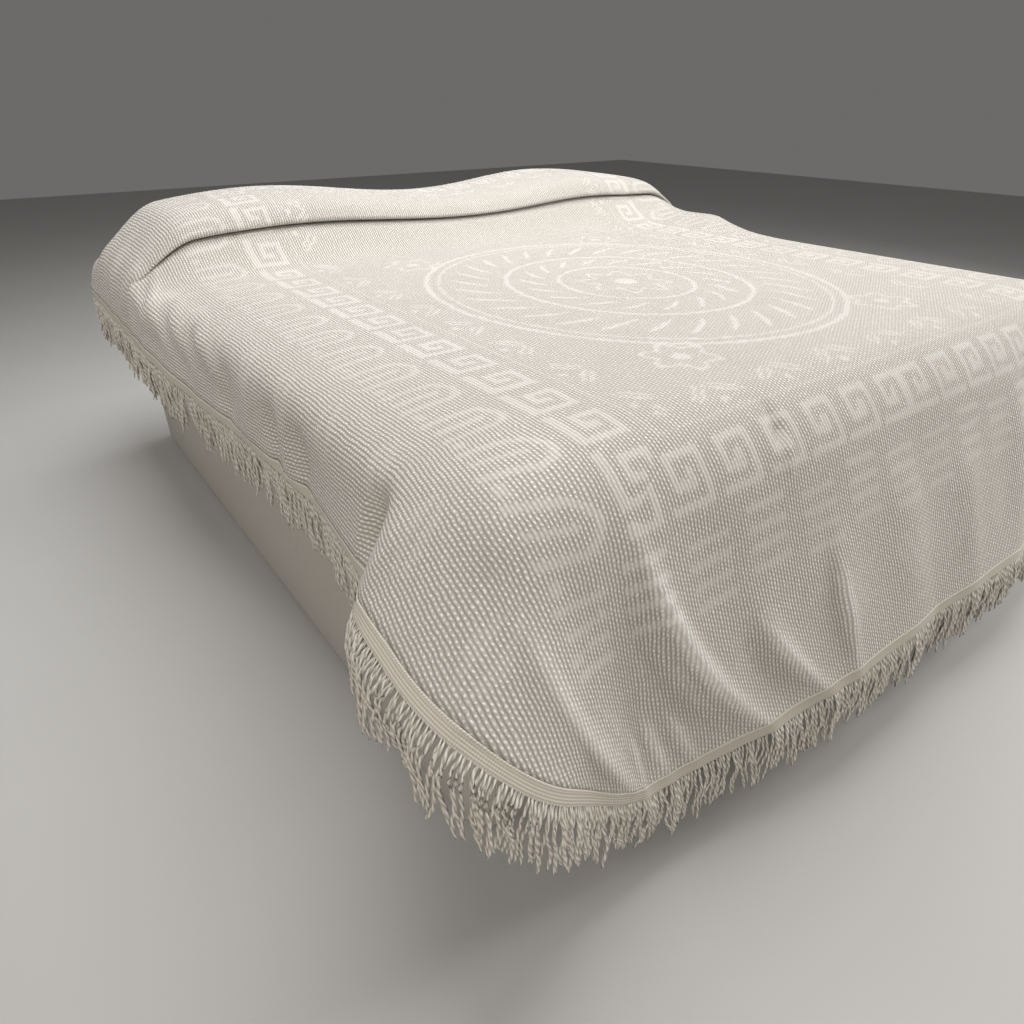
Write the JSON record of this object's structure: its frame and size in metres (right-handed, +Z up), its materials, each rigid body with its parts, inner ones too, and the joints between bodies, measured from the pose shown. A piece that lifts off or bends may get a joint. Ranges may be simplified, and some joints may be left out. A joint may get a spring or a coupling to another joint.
{
  "type": "candlewick bedspread on a bed",
  "caption": "Tufted off-white bedspread laid over a made bed, drawn over its pillows, with fringed edges falling over the sides and foot.",
  "frame": {"origin": "on the floor under the middle of the bed, on the base's underside", "axes": "+Z up, +Y towards the head of the bed, +X towards the right-hand side seen from the foot"},
  "size_m": [2.1545, 2.249, 0.808],
  "materials": {
    "spread": "tufted cotton, matt",
    "fringe": "woven tape and twisted cotton cord, matt",
    "mattress": "plain woven ticking, matt",
    "bed_base": "plain upholstery, matt",
    "pillow": "plain cotton, matt"
  },
  "bodies": {
    "root": {"spread": "spread", "fringe_left": "fringe", "fringe_corner_left": "fringe", "fringe_foot": "fringe", "fringe_corner_right": "fringe", "fringe_right": "fringe", "mattress": "mattress", "bed_base": "bed_base", "pillow_left": "pillow", "pillow_right": "pillow"}
  },
  "joints": []
}
